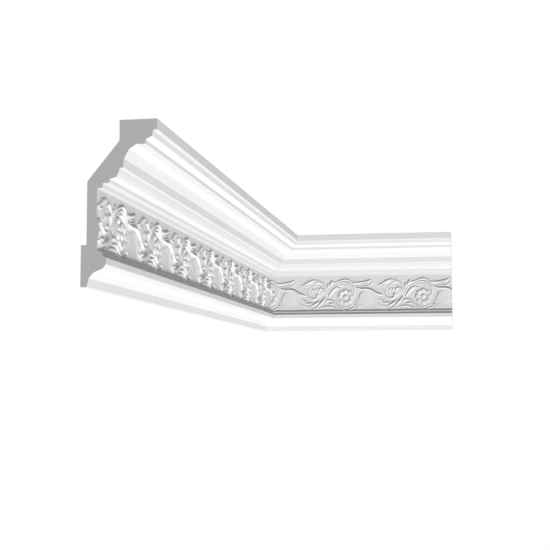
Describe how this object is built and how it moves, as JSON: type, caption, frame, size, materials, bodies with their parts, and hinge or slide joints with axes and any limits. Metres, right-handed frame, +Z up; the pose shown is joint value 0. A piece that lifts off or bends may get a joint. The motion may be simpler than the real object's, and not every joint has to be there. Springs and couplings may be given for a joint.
{
  "type": "cornice moulding corner",
  "caption": "Cornice moulding lengths mitred for a room's inside corner, with a hollow cove and a frieze of acanthus scrolls and rosettes in low relief.",
  "frame": {"origin": "middle of the long length's flat seat on the wall", "axes": "+X out from the wall that the long length is on, +Y along the long length towards the room's inside corner, +Z up to the ceiling"},
  "size_m": [0.3515, 1.012, 0.17],
  "materials": {
    "primed_foam": "matte white factory primer over rigid moulded foam"
  },
  "bodies": {
    "root": {"long_length": "primed_foam", "short_length": "primed_foam"}
  },
  "joints": []
}
